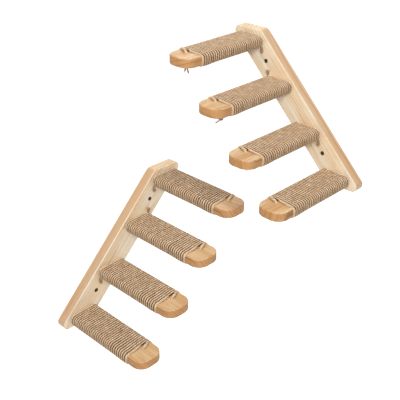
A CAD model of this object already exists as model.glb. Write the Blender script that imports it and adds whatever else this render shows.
"""A pair of wall-mounted cat ladders, dressed in pine, jute rope and zinc-plated screws."""
import math

import bmesh
import bpy
import numpy as np
from mathutils import Euler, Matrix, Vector


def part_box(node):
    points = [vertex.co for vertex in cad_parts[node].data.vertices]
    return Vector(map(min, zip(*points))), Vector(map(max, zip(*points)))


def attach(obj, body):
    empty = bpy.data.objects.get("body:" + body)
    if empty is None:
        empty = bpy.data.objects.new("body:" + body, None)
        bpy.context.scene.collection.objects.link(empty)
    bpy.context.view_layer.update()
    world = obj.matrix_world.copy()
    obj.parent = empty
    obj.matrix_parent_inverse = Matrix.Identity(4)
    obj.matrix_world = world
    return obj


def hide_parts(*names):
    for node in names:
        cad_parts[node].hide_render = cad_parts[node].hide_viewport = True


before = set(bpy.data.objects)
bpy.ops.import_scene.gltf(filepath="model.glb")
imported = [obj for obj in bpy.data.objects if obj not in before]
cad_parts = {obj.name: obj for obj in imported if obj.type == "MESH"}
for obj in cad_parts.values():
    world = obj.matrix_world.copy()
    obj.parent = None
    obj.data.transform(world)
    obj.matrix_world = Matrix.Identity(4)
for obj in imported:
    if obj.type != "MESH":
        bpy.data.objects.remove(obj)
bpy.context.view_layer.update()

MM = 0.001
STEPS = (1, 2, 3, 4)
HAND = {"right": 1, "left": -1}
LEAN = math.radians(45)                # the backboards, from upright
ROPE, STRANDS, LAY = 6.0, 3, 19.0      # rope across, strands in it, one twist of the lay

# Each ladder has its own frame: near (towards the board's lower end), up, and out of its wall.
NEAR_WAY = {"right": np.array([1.0, 0, 0]), "left": np.array([0, -1.0, 0])}
UP_WAY = np.array([0, 0, 1.0])
OUT_WAY = {"right": np.array([0, -1.0, 0]), "left": np.array([1.0, 0, 0])}


def foot_of(side, step):
    """The middle of a step's end, where it meets the backboard, in metres in the room."""
    low, high = (np.array(corner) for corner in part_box(f"{side}_step_{step}"))
    return (low + high) / 2 - OUT_WAY[side] * abs((high - low) @ OUT_WAY[side]) / 2


FEET = {(side, step): foot_of(side, step) for side in HAND for step in STEPS}


def in_room(side, step, spots):
    """Points (near, up, out), in millimetres from a step's foot, as metres in the room."""
    near, up, out = np.asarray(spots, float).T[:, :, None] * MM
    return FEET[side, step] + near * NEAR_WAY[side] + up * UP_WAY + out * OUT_WAY[side]


# ---- Materials ----

FACTOR, FIRST, SECOND, MIXED = 0, 6, 7, 2       # inputs and output of a colour Mix node


def linear(colour):
    """Linear colour of an sRGB hex code, or a grey from a number."""
    if not isinstance(colour, str):
        return [colour] * 3 + [1]
    parts = [int(colour[i:i + 2], 16) / 255 for i in (1, 3, 5)]
    return [c / 12.92 if c <= 0.04045 else ((c + 0.055) / 1.055) ** 2.4 for c in parts] + [1]


def feed(tree, made, inputs):
    """Set a node's inputs, each to a value or to another node's output."""
    for name, value in dict(inputs).items():
        if isinstance(value, bpy.types.NodeSocket):
            tree.links.new(value, made.inputs[name])
        else:
            made.inputs[name].default_value = value


def node(tree, kind, inputs=(), out=0, stops=(), eased=True, **settings):
    """Add a node of a kind with its settings and inputs, and give one of its outputs. A colour
    ramp has stops, each a position and a hex code or grey, with eased or straight runs between."""
    made = tree.nodes.new("ShaderNode" + kind)
    for name, value in settings.items():
        setattr(made, name, value)
    feed(tree, made, inputs)
    if stops:
        made.color_ramp.interpolation = "EASE" if eased else "LINEAR"
        marks = made.color_ramp.elements
        while len(marks) < len(stops):
            marks.new(0.5)
        for mark, (position, colour) in zip(marks, stops):
            mark.position = position
            mark.color = linear(colour)
    return made.outputs[out]


def new_material(name):
    """A new material, its nodes and its Principled shader."""
    material = bpy.data.materials.new(name)
    material.use_nodes = True
    tree = material.node_tree
    return material, tree, tree.nodes["Principled BSDF"]


RING_WIDE, RING_WANDER = 3.6, 16       # a year's growth of pine, and how far the rings can stray
BORE_WIDE = 10.5                       # a wall hole's 10 mm bore, and a little of its rim


def drawn_out(tree, place, along, across, detail, roughness=0.5, out="Fac"):
    """Clouds in wood, drawn out with the grain, so many millimetres along and across it."""
    scale = 1 / (along * MM), 1 / (across * MM), 1 / (across * MM)
    return node(tree, "TexNoise", {"Vector": node(tree, "Mapping", {"Vector": place,
                                                                    "Scale": scale}),
                                   "Scale": 1, "Detail": detail, "Roughness": roughness}, out)


def growth_rings(tree, place, pith):
    """Rings round a tree's middle along the X axis: how much a point is late wood, and a number
    for its year."""
    wander = drawn_out(tree, place, 333, 71.4, 2, 0.45, "Color")
    bent = node(tree, "VectorMath", {0: wander, 1: (RING_WANDER * MM,) * 3, 2: place},
                operation="MULTIPLY_ADD")
    off_pith = node(tree, "VectorMath", {0: bent, 1: pith}, operation="ADD")
    off_pith = node(tree, "VectorMath", {0: off_pith, 1: (0, 1, 1)}, operation="MULTIPLY")
    radius = node(tree, "VectorMath", {0: off_pith}, "Value", operation="LENGTH")
    rings = node(tree, "Math", {0: radius, 1: RING_WIDE * MM}, operation="DIVIDE")
    late_wood = node(tree, "ValToRGB", {"Fac": node(tree, "Math", {0: rings}, operation="FRACT")},
                     stops=[(0.1, 0.0), (0.6, 0.3), (0.88, 1.0), (1, 0.0)], eased=False)
    year = node(tree, "Math", {0: rings}, operation="FLOOR")
    return late_wood, node(tree, "TexWhiteNoise", {"W": year}, "Value", noise_dimensions="1D")


def bored(tree, colour, place, middle):
    """Wood's colour with the dark raw wall of a bore, which runs along Y through its middle."""
    off = node(tree, "VectorMath", {0: place, 1: middle}, operation="SUBTRACT")
    off = node(tree, "VectorMath", {0: off, 1: (1, 0, 1)}, operation="MULTIPLY")
    off = node(tree, "VectorMath", {0: off}, "Value", operation="LENGTH")
    off = node(tree, "Math", {0: off, 1: BORE_WIDE / 2 * MM}, operation="DIVIDE")
    inside = node(tree, "ValToRGB", {"Fac": off}, stops=[(0.97, 0.85), (1.0, 0.0)], eased=False)
    return node(tree, "Mix", {FACTOR: inside, FIRST: colour, SECOND: linear("#2C2019")}, MIXED,
                data_type="RGBA")


def sanded_pine(name, turn, sawn, pith, tones, bores=()):
    """Pine, planed, sanded and thinly lacquered: soft cream wood between warmer late-wood lines,
    which run with the grain on the faces and show as arcs on the ends, pinker sawn edges, and
    ends that drink more lacquer and go brown. turn brings the grain to the X axis, sawn is the
    axis that the sawn edges then face, and pith is how far off the tree's middle was, in metres.
    bores are the places of wall holes."""
    material, tree, shader = new_material(name)
    place = node(tree, "Mapping", {"Vector": node(tree, "TexCoord", out="Object"),
                                   "Rotation": turn})
    facing = node(tree, "Mapping", {"Vector": node(tree, "TexCoord", out="Normal"),
                                    "Rotation": turn})
    edgewise = node(tree, "Math", {0: node(tree, "SeparateXYZ", {"Vector": facing}, sawn)},
                    operation="ABSOLUTE")
    endwise = node(tree, "Math", {0: node(tree, "SeparateXYZ", {"Vector": facing}, "X")},
                   operation="ABSOLUTE")
    late_wood, year = growth_rings(tree, place, pith)
    # fibres, drawn 0.6 mm wide and 30 mm long to show, where real ones are 0.04 mm wide
    fibre = drawn_out(tree, place, 30.3, 0.625, 3, 0.6)
    # broad clouds of tone along the wood, and streaks of resin
    cloud = drawn_out(tree, place, 143, 23.8, 3)
    streaks = drawn_out(tree, place, 77, 4.76, 2)

    colour = node(tree, "ValToRGB", {"Fac": cloud},
                  stops=[(0.36, tones["face"]), (0.66, tones["cloudy"])])
    for share, tone in (
            (node(tree, "ValToRGB", {"Fac": edgewise}, stops=[(0.5, 0.0), (0.95, 0.85)]), "edge"),
            (node(tree, "ValToRGB", {"Fac": endwise}, stops=[(0.25, 0.0), (0.9, 0.9)]), "end")):
        colour = node(tree, "Mix", {FACTOR: share, FIRST: colour, SECOND: linear(tones[tone])},
                      MIXED, data_type="RGBA")
    # the lines differ from year to year, and show more on edges and ends
    cut = node(tree, "Math", {0: edgewise, 1: endwise}, operation="MAXIMUM")
    cut = node(tree, "MapRange", {"Value": cut, "To Min": 0.7, "To Max": 1.25})
    lines = node(tree, "Math", {0: late_wood, 1: year}, operation="MULTIPLY")
    lines = node(tree, "Math", {0: lines, 1: cut}, operation="MULTIPLY", use_clamp=True)
    resin = node(tree, "ValToRGB", {"Fac": streaks}, stops=[(0.56, 0.0), (0.74, 0.38)])
    for share in (lines, resin):
        colour = node(tree, "Mix", {FACTOR: share, FIRST: colour, SECOND: linear(tones["line"])},
                      MIXED, data_type="RGBA")
    shade = node(tree, "ValToRGB", {"Fac": fibre}, stops=[(0.28, 0.80), (0.5, 1.0), (0.75, 1.04)])
    colour = node(tree, "Mix", {FACTOR: 1.0, FIRST: colour, SECOND: shade}, MIXED,
                  data_type="RGBA", blend_type="MULTIPLY")
    for bore in bores:
        colour = bored(tree, colour, place, Euler(turn).to_matrix() @ Vector(bore))
    feed(tree, shader, {
        "Base Color": colour, "IOR": 1.5,
        "Roughness": node(tree, "ValToRGB", {"Fac": late_wood}, stops=[(0, 0.52), (1, 0.44)]),
        "Normal": node(tree, "Bump", {"Height": fibre, "Strength": 0.15, "Distance": 0.3 * MM})})
    return material


def laid_jute():
    """Jute rope, three strands laid together and dry: dull tan fibre that takes no gloss, darker
    down in the lay, with paler and browner lengths where the fibre differs. The rope's mesh says
    where on it a point is: along in metres, around in strands, and how much it is pressed."""
    material, tree, shader = new_material("laid_jute")
    along, around, pressed = (node(tree, "Attribute", out="Fac", attribute_name=name)
                              for name in ("along", "around", "pressed"))
    strand = node(tree, "Math", {0: along, 1: STRANDS / (LAY * MM), 2: around},
                  operation="MULTIPLY_ADD")
    lay = node(tree, "CombineXYZ", {"X": along, "Y": strand})
    # fibres along each strand, drawn 11 mm long and 7 to a strand, which is 0.9 mm each, where
    # real ones are 0.05 mm, and lengths of 110 mm in which the fibre differs
    fibre = node(tree, "TexNoise", {"Vector": node(tree, "Mapping", {"Vector": lay,
                                                                     "Scale": (90, 7, 1)}),
                                    "Scale": 1, "Detail": 3, "Roughness": 0.65})
    length = node(tree, "TexNoise", {"Vector": node(tree, "Mapping", {"Vector": lay,
                                                                      "Scale": (9, 0.4, 1)}),
                                     "Scale": 1, "Detail": 2})
    # 0 on a strand's crest, 0.5 down between two
    groove = node(tree, "Math", {0: strand, 1: 0.5}, operation="PINGPONG")
    colour = node(tree, "ValToRGB", {"Fac": length},
                  stops=[(0.3, "#C6A682"), (0.5, "#D6B893"), (0.7, "#E5CEAF")])
    for factor, stops in ((fibre, [(0.3, 0.84), (0.5, 1.0), (0.72, 1.07)]),
                          (groove, [(0.0, 1.0), (0.28, 0.97), (0.5, 0.70)]),
                          # dust and shadow where a turn is pressed against the next
                          (pressed, [(0.38, "#FFFFFF"), (0.7, "#B3987F"), (0.94, "#503C2C")])):
        shade = node(tree, "ValToRGB", {"Fac": factor}, stops=stops)
        colour = node(tree, "Mix", {FACTOR: 1.0, FIRST: colour, SECOND: shade}, MIXED,
                      data_type="RGBA", blend_type="MULTIPLY")
    feed(tree, shader, {
        "Base Color": colour, "IOR": 1.45, "Roughness": 0.92,
        "Sheen Weight": 0.25, "Sheen Roughness": 0.5,
        "Normal": node(tree, "Bump", {"Height": fibre, "Strength": 0.5, "Distance": 0.3 * MM})})
    return material


def zinc_plated_steel():
    """Screw steel with a bright zinc plating: pale grey metal, faintly mottled in patches 1 mm
    wide."""
    material, tree, shader = new_material("zinc_plated_steel")
    mottle = node(tree, "TexNoise", {"Vector": node(tree, "TexCoord", out="Object"),
                                     "Scale": 900, "Detail": 2})
    feed(tree, shader, {
        "Base Color": node(tree, "ValToRGB", {"Fac": mottle},
                           stops=[(0.3, "#B8BABC"), (0.7, "#D4D5D3")]),
        "Roughness": node(tree, "ValToRGB", {"Fac": mottle}, stops=[(0.3, 0.28), (0.7, 0.42)]),
        "Metallic": 1})
    return material


GRAIN_OUT = {"right": (0, 0, -math.pi / 2), "left": (0, 0, 0)}         # the steps' grain
GRAIN_DOWN = {"right": (0, -LEAN, 0), "left": (-LEAN, 0, math.pi / 2)}     # the boards' grain
BOARD_TONES = {"face": "#FFF1D6", "cloudy": "#FADFB8", "edge": "#C9A37C", "end": "#E6C8A0",
               "line": "#BE8A58"}
STEP_TONES = {"face": "#DEBD92", "cloudy": "#CCA06B", "edge": "#C4915B", "end": "#CC945A",
              "line": "#905A2A"}
# the wall holes are midway between steps 1 and 2, and between steps 3 and 4
BORES = {side: [(FEET[side, step] + FEET[side, step + 1]) / 2 for step in (1, 3)]
         for side in HAND}
board_wood = {side: sanded_pine(f"sanded_pine_{side}_board", GRAIN_DOWN[side], "Z",
                                (0, 0.021, 0.047), BOARD_TONES, BORES[side]) for side in HAND}
step_wood = {side: sanded_pine(f"sanded_pine_{side}_steps", GRAIN_OUT[side], "Y",
                               (0, 0.013, 0.171), STEP_TONES) for side in HAND}
jute = laid_jute()
zinc = zinc_plated_steel()


def finish(obj, material):
    """One material all over."""
    obj.data.materials.clear()
    obj.data.materials.append(material)


# ---- Rope ----

TURNS = 32
CLEAR = 0.3                            # rope to wood
STEP_THICK, WRAP_LONG = 21, 202        # bare nose, top to bottom, and length under the rope
CORE_WIDE, CORE_THICK, CORE_EDGE = 65, 16, 5    # wood under the rope, and its edges' rounding
CORE_SIDE, CORE_FACE = CORE_WIDE / 2 - CORE_EDGE, CORE_THICK / 2 - CORE_EDGE    # half its flats
WRAP_CORNER = CORE_EDGE + CLEAR + ROPE / 2      # bend of the rope's middle round those edges
ONCE_ROUND = 2 * math.pi * WRAP_CORNER + 4 * (CORE_SIDE + CORE_FACE)
FIRST_TURN, LAST_TURN = WRAP_LONG - 3.1, 4.4    # the rope's middle, out from the backboard
HOLE_ASIDE, HOLE_AHEAD = 6.0, 5.5      # rope hole in the nose, to the far side and past the wrap
OVER_NOSE = STEP_THICK / 2 + CLEAR + ROPE / 2   # the rope's middle, lying on the nose
UNDER_NOSE = -STEP_THICK / 2 - CLEAR   # where the rope leaves its knot
HUMP, BEND = 2.2, 6.5                  # the rope's rise over the hole's rim, and its bend there
QUARTER = 10.2                         # how far each end pulls a smooth quarter of that bend
SQUARE_TURNS = 9                       # the first turns, square to the step; later ones slant
TOP_SHIFT = 0.68                       # where in a square turn it starts to shift to the next
SLACK_BELOW, SLACK_TURN, SLACK_SPREAD = 1.3, 3, 2.6     # how far, and where, turns hang loose
WOBBLE = 0.16                          # how far turns stray from their places
LAST_STRAIGHT = 2.0                    # from the last bend to the end knot
ENDS = {1: "near", 2: "top", 3: "near", 4: "under"}     # where each step's rope ends


def curve_between(start, start_way, end, end_way, count):
    """Points of a smooth bend from one point and direction to another, the last one left out."""
    t = np.linspace(0, 1, count, endpoint=False)[:, None]
    start, end = np.asarray(start, float), np.asarray(end, float)
    return ((2 * t ** 3 - 3 * t ** 2 + 1) * start + (t ** 3 - 2 * t ** 2 + t) * start_way
            + (3 * t ** 2 - 2 * t ** 3) * end + (t ** 3 - t ** 2) * end_way)


def round_the_core(turns):
    """(near, up) of the rope's middle after some turns, from the far top edge going down."""
    side, face, corner = CORE_SIDE, CORE_FACE, WRAP_CORNER
    quarter = math.pi / 2 * corner
    lengths = [quarter, 2 * face, quarter, 2 * side] * 2
    marks = np.cumsum([0] + lengths)
    gone = (turns % 1) * marks[-1]
    near, up = np.empty_like(gone), np.empty_like(gone)
    centres = [(-side, face), (-side, -face), (side, -face), (side, face)]
    for i in range(8):
        here = (gone >= marks[i]) & (gone <= marks[i + 1])
        part = (gone[here] - marks[i]) / lengths[i]
        corner_no = i // 2
        middle = centres[corner_no]
        if i % 2 == 0:
            angle = math.pi / 2 * (1 + corner_no + part)
            near[here] = middle[0] + corner * np.cos(angle)
            up[here] = middle[1] + corner * np.sin(angle)
        else:
            following = centres[(corner_no + 1) % 4]
            off = [(-corner, 0), (0, -corner), (corner, 0), (0, corner)][corner_no]
            near[here] = middle[0] + (following[0] - middle[0]) * part + off[0]
            up[here] = middle[1] + (following[1] - middle[1]) * part + off[1]
    return near, up


def rope_route(step, luck):
    """Middle line of the rope on a step, as (near, up, out): up through the nose, over to the far
    side, round and round to the backboard, and into its end."""
    below = (math.pi * WRAP_CORNER + 2 * CORE_FACE) / ONCE_ROUND    # the run below starts here
    run = 2 * CORE_SIDE / ONCE_ROUND
    end_at = {"near": below + run, "under": below + run * 0.4, "top": 1.0}[ENDS[step]]
    start_at = math.pi / 4 * WRAP_CORNER / ONCE_ROUND               # halfway down the first corner
    turns = np.arange(start_at, TURNS - 1 + end_at, 1 / ONCE_ROUND)
    near, up = round_the_core(turns)
    share = (turns - start_at) / (turns[-1] - start_at)
    wobble = np.interp(turns, np.arange(0, TURNS + 1, 0.5), luck.normal(0, WOBBLE, 2 * TURNS + 2))
    wobble *= np.clip(share * 12, 0, 1) * np.clip((1 - share) * 12, 0, 1)   # none at either end
    # a square turn stays where it is until it shifts over, on the top
    square = np.clip(1 - turns / SQUARE_TURNS, 0, 1)
    shift = np.clip((turns % 1 - TOP_SHIFT) / (1 - TOP_SHIFT), 0, 1)
    lag = square * (turns % 1 - shift ** 2 * (3 - 2 * shift))
    pitch = (FIRST_TURN - LAST_TURN) / (turns[-1] - start_at)
    out = FIRST_TURN - pitch * (turns - start_at - lag) + wobble
    loose = np.exp(-((turns - SLACK_TURN) / SLACK_SPREAD) ** 2)
    up = up - SLACK_BELOW * loose * np.clip(-up / (CORE_FACE + CORE_EDGE + ROPE / 2), 0, 1)
    wound = np.stack([near, up, out], 1)

    # out of the nose's hole, over its rim, and across the nose to the core's far edge
    hole = WRAP_LONG + HOLE_AHEAD
    foot = np.array([-HOLE_ASIDE, UNDER_NOSE, hole])
    head = np.array([-HOLE_ASIDE, OVER_NOSE + HUMP - BEND, hole])
    crest = np.array([-HOLE_ASIDE - BEND, OVER_NOSE + HUMP, hole - 0.4])
    over = np.array([-26.0, OVER_NOSE, FIRST_TURN + 1.2])
    start = [np.linspace(foot, head, 12, endpoint=False),
             curve_between(head, (0, QUARTER, 0), crest, (-QUARTER, 0, -1.5), 9),
             curve_between(crest, (-16, 0, -2.5), over, (-13, -2.5, -7), 14),
             curve_between(over, (-11, -2.5, -3.5), wound[0], (-7, -9, -0.6), 9)]

    way = -1 if ENDS[step] == "top" else 1      # it ends by going far and up, or near and down
    last = wound[-1]
    bent = last + (way * BEND, -way * BEND, 0)
    tail = [curve_between(last, (way * QUARTER, 0, 0), bent, (0, -way * QUARTER, 0), 8),
            np.linspace(bent, bent + (0, -way * LAST_STRAIGHT, 0), 5)]
    return np.concatenate(start + [wound[:-1]] + tail)


def even_points(route, spacing):
    """Points an even distance apart along a route, and how far along each is."""
    gone = np.concatenate([[0], np.cumsum(np.linalg.norm(np.diff(route, axis=0), axis=1))])
    count = int(round(gone[-1] / spacing)) + 1
    marks = np.linspace(0, gone[-1], count)
    return np.stack([np.interp(marks, gone, route[:, i]) for i in range(3)], 1), marks


def rope_frames(points, out_way):
    """Two crosswise directions at each point, the first as near as can be to a given way."""
    tangents = np.gradient(points, axis=0)
    tangents /= np.linalg.norm(tangents, axis=1)[:, None]
    sides = np.broadcast_to(out_way, points.shape) - tangents * (tangents @ out_way)[:, None]
    sides /= np.linalg.norm(sides, axis=1)[:, None]
    return sides, np.cross(tangents, sides)


def laid_radius(angles):
    """Radii, for a rope of radius 1, of a section through its strands, at some angles from a
    strand's crest. Loose fibre fills the lay, so they swell far less than bare strands would."""
    from_strand = (angles + math.pi / STRANDS) % (2 * math.pi / STRANDS) - math.pi / STRANDS
    strand, off = 0.91, 0.09
    return off * np.cos(from_strand) + np.sqrt(strand ** 2 - (off * np.sin(from_strand)) ** 2)


def tube_mesh(name, points, reach, angles, out_way):
    """Mesh of a closed tube in metres, whose reach is given at each point and each angle."""
    sides, ups = rope_frames(points, out_way)
    rings = (points[:, None, :] + (np.cos(angles) * reach)[:, :, None] * sides[:, None, :]
             + (np.sin(angles) * reach)[:, :, None] * ups[:, None, :])
    count, around = reach.shape
    base = np.arange(count - 1)[:, None] * around + np.arange(around)[None, :]
    right = np.arange(count - 1)[:, None] * around + (np.arange(around)[None, :] + 1) % around
    quads = np.stack([base, right, right + around, base + around], 2).reshape(-1, 4)
    faces = quads.tolist() + [list(range(around))[::-1],
                              list(range((count - 1) * around, count * around))]
    mesh = bpy.data.meshes.new(name)
    mesh.from_pydata(rings.reshape(-1, 3).tolist(), [], faces)
    mesh.update()
    return mesh


def give(mesh, name, values):
    """Store one number per vertex under a name."""
    mesh.attributes.new(name, "FLOAT", "POINT").data.foreach_set("value", values)


SWELL, SWELL_EVERY = 0.012, 12         # how unevenly thick the rope is, and over what length
FREE_END = 11                          # length of the rope's end, past its last turn
NOSE_FADE, END_FADE = 2, 4             # lengths over which the turns' shade comes and goes
BOARD_PRESS, CORNER_PRESS = 0.8, 0.6   # the last turn on the backboard, and the end in its corner


def pressed_sides(points, marks, angles, out_way):
    """How hard each point round a wound rope is pressed: 1 where it touches the next turn, and
    nothing on top, over the nose and on the outer side of the first turn."""
    out = points @ out_way
    wrap_end = out.max() - HOLE_AHEAD * MM
    wound = np.clip((wrap_end - out) / (NOSE_FADE * MM), 0, 1)[:, None]
    free = np.clip((marks - marks[-1] + FREE_END * MM) / (END_FADE * MM), 0, 1)[:, None]
    first = (out > wrap_end - 1.2 * ROPE * MM)[:, None]
    last = (out < out.min() + 0.6 * ROPE * MM)[:, None]
    toward = np.cos(angles)[None, :]
    pressed = np.maximum(np.where(first, 0, toward),
                         np.where(last, -BOARD_PRESS * toward, -toward))
    return np.where(free > 0, CORNER_PRESS * free, pressed * wound).clip(0)


def rope_piece(name, route, luck, out_way, radius=ROPE / 2, spacing=1.5, section=12,
               wound_by=0, dusty=0.0):
    """Rope laid along a route, in metres. When it is wound, by a hand of 1 or -1, its turns lie
    side by side along out_way and press on each other there."""
    points, marks = even_points(route, spacing * MM)
    # the seam of what is stored round the rope faces the core
    angles = (np.arange(section) + 0.5) * 2 * math.pi / section - wound_by * math.pi / 2
    twist = marks / (LAY * MM) * 2 * math.pi
    bulges = np.arange(0, marks[-1] + 20 * MM, SWELL_EVERY * MM)
    swell = 1 + SWELL * np.interp(marks, bulges, luck.normal(0, 1, len(bulges)))
    reach = radius * MM * swell[:, None] * laid_radius(angles[None, :] + twist[:, None])
    mesh = tube_mesh(name, points, reach, angles, out_way)
    count = len(points)
    give(mesh, "along", np.repeat(marks, section))
    give(mesh, "around", np.tile(angles / (2 * math.pi) * STRANDS, count))
    pressed = np.zeros((count, section))
    if wound_by:
        pressed = pressed_sides(points, marks, angles, out_way)
    give(mesh, "pressed", pressed.ravel() + dusty)
    mesh.shade_smooth()
    return mesh


FRAY_POINTS, FRAY_SIDES, FRAY_RADIUS = 9, 5, 0.62       # one strand of a frayed end


def frayed_strand(name, place, end, spin, luck, dusty):
    """One strand of a frayed end, thinning out. It hangs from a place (side, step, point), and
    end is how far it goes near, down and out; spin is its own way off the others."""
    side, step, top = place
    near, down, out = end
    s = np.linspace(0, 1, FRAY_POINTS)
    down = down * (1 - 0.18 * luck.random())        # not all as long
    bend = luck.normal(0, 0.5, 2)
    spread = 0.75 + 0.9 * s ** 2                    # off the others' middle
    line = top + np.stack([near * s ** 1.2 + math.cos(spin) * spread + bend[0] * s ** 2,
                           -down * s,
                           out * s ** 1.2 + math.sin(spin) * spread + bend[1] * s ** 2], 1)
    angles = np.arange(FRAY_SIDES) * 2 * math.pi / FRAY_SIDES
    thin = np.repeat((FRAY_RADIUS * (1 - 0.75 * s ** 3) * MM)[:, None], FRAY_SIDES, 1)
    askew = np.array([0.8, 0.6, 0.05])              # a way that no strand runs
    mesh = tube_mesh(name, in_room(side, step, line), thin, angles, askew)
    give(mesh, "along", np.repeat(s * abs(end[1]) * MM, FRAY_SIDES) + luck.uniform(0, 9))
    give(mesh, "around", np.tile(angles, FRAY_POINTS) * 0.2 + luck.uniform(0.2, 0.6))
    give(mesh, "pressed", np.full(FRAY_POINTS * FRAY_SIDES, dusty))
    mesh.shade_smooth()
    return mesh


KNOT_TURNS, KNOT_ROPE = 1.85, 0.21     # turns in a knot, and its rope's radius in a knot 1 wide


def barrel_knot(name, place, slack, wide, tall, ends, luck, dusty):
    """Stopper knot pulled up: the rope goes round itself nearly twice, and its strands come apart
    and fray out below. It hangs with some slack (near, up, out) from a place (side, step, point),
    and one with a tall below zero stands up instead. Each of its loose ends is how far it goes
    near and out, how long it is, and its strands."""
    side, step, top = place
    top = top + slack
    way, thick = math.copysign(1, tall), KNOT_ROPE * wide
    t = np.linspace(0, 1, 60)
    angle = 2 * math.pi * KNOT_TURNS * t + luck.uniform(0, 6)
    barrel = np.sin(math.pi * t) ** 0.45 * (wide / 2 - thick)
    down = -0.3 * thick - (abs(tall) - 1.3 * thick) * t
    coil = np.stack([barrel * np.cos(angle), way * down, barrel * np.sin(angle)], 1)
    lead = np.linspace(-np.asarray(slack, float), (0, 0, 0), 4, endpoint=False)
    route = in_room(side, step, np.concatenate([lead, coil]) + top)
    upright = np.array([0.04, 0.03, 1.0])       # and a little off, a way that no rope runs
    meshes = [rope_piece(name, route, luck, upright, thick, 0.5, dusty=dusty)]
    below = top + coil[-1] * (0, 0.82, 0)
    for near, out, long, strands in ends:
        for strand in range(strands):
            spin = 2 * math.pi * strand / strands + luck.uniform(0, 0.6)
            meshes.append(frayed_strand(name, (side, step, below), (near, way * long, out), spin,
                                        luck, dusty))
    return joined(name, meshes)


def joined(name, meshes):
    """One mesh from several."""
    whole = bmesh.new()
    for mesh in meshes:
        whole.from_mesh(mesh)
        bpy.data.meshes.remove(mesh)
    mesh = bpy.data.meshes.new(name)
    whole.to_mesh(mesh)
    whole.free()
    return mesh


def add_piece(name, mesh, material, slot, *nodes):
    """Add a piece, which rides on the ladders' one body and stands for some of the solids."""
    obj = bpy.data.objects.new(name, mesh)
    bpy.context.scene.collection.objects.link(obj)
    finish(obj, material)
    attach(obj, "root")
    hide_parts(*nodes)


# Each knot's slack, how wide and tall it is, and its loose ends
NOSE_KNOTS = {1: ((0, 0, 0), 11.5, 9.0, [(-5.0, 1.0, 19, 8), (5.5, -1.5, 20, 8)]),
              2: ((12.0, -9.0, -3.0), 13.5, 9.5, [(-11.0, 4.0, 13, 10)]),
              3: ((0, 0, 0), 11.5, 9.0, [(-3.0, -2.0, 15, 8), (5.0, 1.0, 17, 8)]),
              4: ((0, 0, 0), 11.5, 9.0, [(-4.0, -1.0, 14, 8), (4.0, -2.0, 12, 8)])}
END_KNOTS = {step: ((0, 0, 0.8), 9.4, -7.0 if ENDS[step] == "top" else 7.0,
                    [(1.0, 1.0, 4.0, 8)]) for step in STEPS}
NOSE_DUST, END_DUST = 0.5, 0.6         # shade and dust on them

for side in HAND:
    for step in STEPS:
        luck = np.random.default_rng(100 * step + (side == "left"))
        route = rope_route(step, luck)
        name = f"{side}_wound_rope_{step}"
        mesh = rope_piece(name, in_room(side, step, route), luck, OUT_WAY[side],
                          wound_by=HAND[side])
        add_piece(name, mesh, jute, "jute_rope", f"{side}_rope_{step}")
        name = f"{side}_frayed_nose_knot_{step}"
        mesh = barrel_knot(name, (side, step, route[0]), *NOSE_KNOTS[step], luck, NOSE_DUST)
        add_piece(name, mesh, jute, "jute_rope", f"{side}_nose_knot_{step}")
        name = f"{side}_frayed_end_knot_{step}"
        mesh = barrel_knot(name, (side, step, route[-1]), *END_KNOTS[step], luck, END_DUST)
        add_piece(name, mesh, jute, "jute_rope", f"{side}_end_knot_{step}")

for side in HAND:
    finish(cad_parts[f"{side}_backboard"], board_wood[side])
    for step in STEPS:
        finish(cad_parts[f"{side}_step_{step}"], step_wood[side])
        finish(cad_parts[f"{side}_screws_{step}"], zinc)


# ---- Studio ----

FLOOR_LEVEL, FLOOR_HALF, FLOOR_GLOW = -1.35, 9, 0.85    # metres, and how white it shows itself
SKY_FILL = 0.27                        # the sky's light on the ladders
MIDDLE = Vector((0.03, -0.28, -0.25))  # of the pair


def seen_directly(tree):
    """1 for rays that show the surroundings: straight, in a gloss or through glass."""
    rays = [node(tree, "LightPath", out=f"Is {kind} Ray")
            for kind in ("Camera", "Glossy", "Transmission")]
    seen = node(tree, "Math", {0: rays[0], 1: rays[1]}, operation="MAXIMUM")
    return node(tree, "Math", {0: seen, 1: rays[2]}, operation="MAXIMUM")


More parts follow.
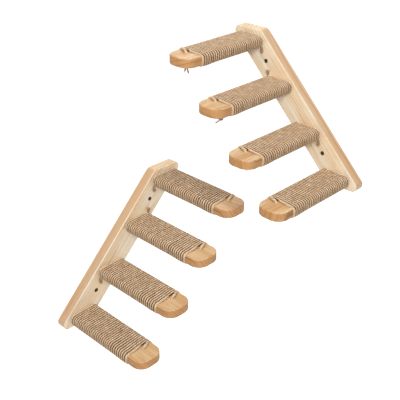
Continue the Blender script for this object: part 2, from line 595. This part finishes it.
def studio_white():
    """Matt white painted board: it takes the object's shadow, and shows as white itself."""
    material, tree, shader = new_material("studio_white")
    tree.nodes.remove(shader)
    glow = node(tree, "Math", {0: seen_directly(tree), 1: FLOOR_GLOW}, operation="MULTIPLY")
    board = node(tree, "BsdfDiffuse", {"Color": (0.8, 0.8, 0.8, 1)})
    light = node(tree, "Emission", {"Color": (1, 1, 1, 1), "Strength": glow})
    feed(tree, tree.nodes["Material Output"],
         {"Surface": node(tree, "AddShader", {0: board, 1: light})})
    return material


corners = [(x * FLOOR_HALF, y * FLOOR_HALF, FLOOR_LEVEL)
           for x, y in ((-1, -1), (1, -1), (1, 1), (-1, 1))]
floor_mesh = bpy.data.meshes.new("studio_floor")
floor_mesh.from_pydata(corners, [], [(0, 1, 2, 3)])
floor = bpy.data.objects.new("studio_floor", floor_mesh)
bpy.context.scene.collection.objects.link(floor)
finish(floor, studio_white())

world = bpy.data.worlds.new("studio_light")
bpy.context.scene.world = world
world.use_nodes = True
sky = world.node_tree
level = node(sky, "Math", {0: seen_directly(sky), 1: 1 - SKY_FILL, 2: SKY_FILL},
             operation="MULTIPLY_ADD")
feed(sky, sky.nodes["Background"], {"Color": (1, 1, 1, 1), "Strength": level})


def soft_lamp(name, place, wide, power):
    """Square soft box, facing the middle of the pair."""
    data = bpy.data.lights.new(name, "AREA")
    data.size = wide
    data.energy = power
    obj = bpy.data.objects.new(name, data)
    obj.location = place
    obj.rotation_euler = (MIDDLE - Vector(place)).to_track_quat("-Z", "Y").to_euler()
    bpy.context.scene.collection.objects.link(obj)


soft_lamp("key", (1.5, -1.9, 1.2), 0.9, 50)
soft_lamp("top", (0.1, -0.4, 2.4), 0.9, 31)
soft_lamp("back", (-1.8, 1.6, 1.2), 1.8, 10)

# The camera's lens, place and turn come from fitting the ladders' outlines to the photograph's.
LENS, SENSOR = 67.5, 36
CAMERA_PLACE = (1.0683, -1.3226, 0.543)
CAMERA_TURN = (61.52, 0, 44.66)        # in degrees
lens = bpy.data.cameras.new("camera")
lens.sensor_width = SENSOR
lens.lens = LENS
lens.clip_end = 50
camera = bpy.data.objects.new("camera", lens)
camera.location = CAMERA_PLACE
camera.rotation_euler = Euler([math.radians(angle) for angle in CAMERA_TURN])
bpy.context.scene.collection.objects.link(camera)
bpy.context.scene.camera = camera
bpy.context.scene.view_settings.view_transform = "Standard"
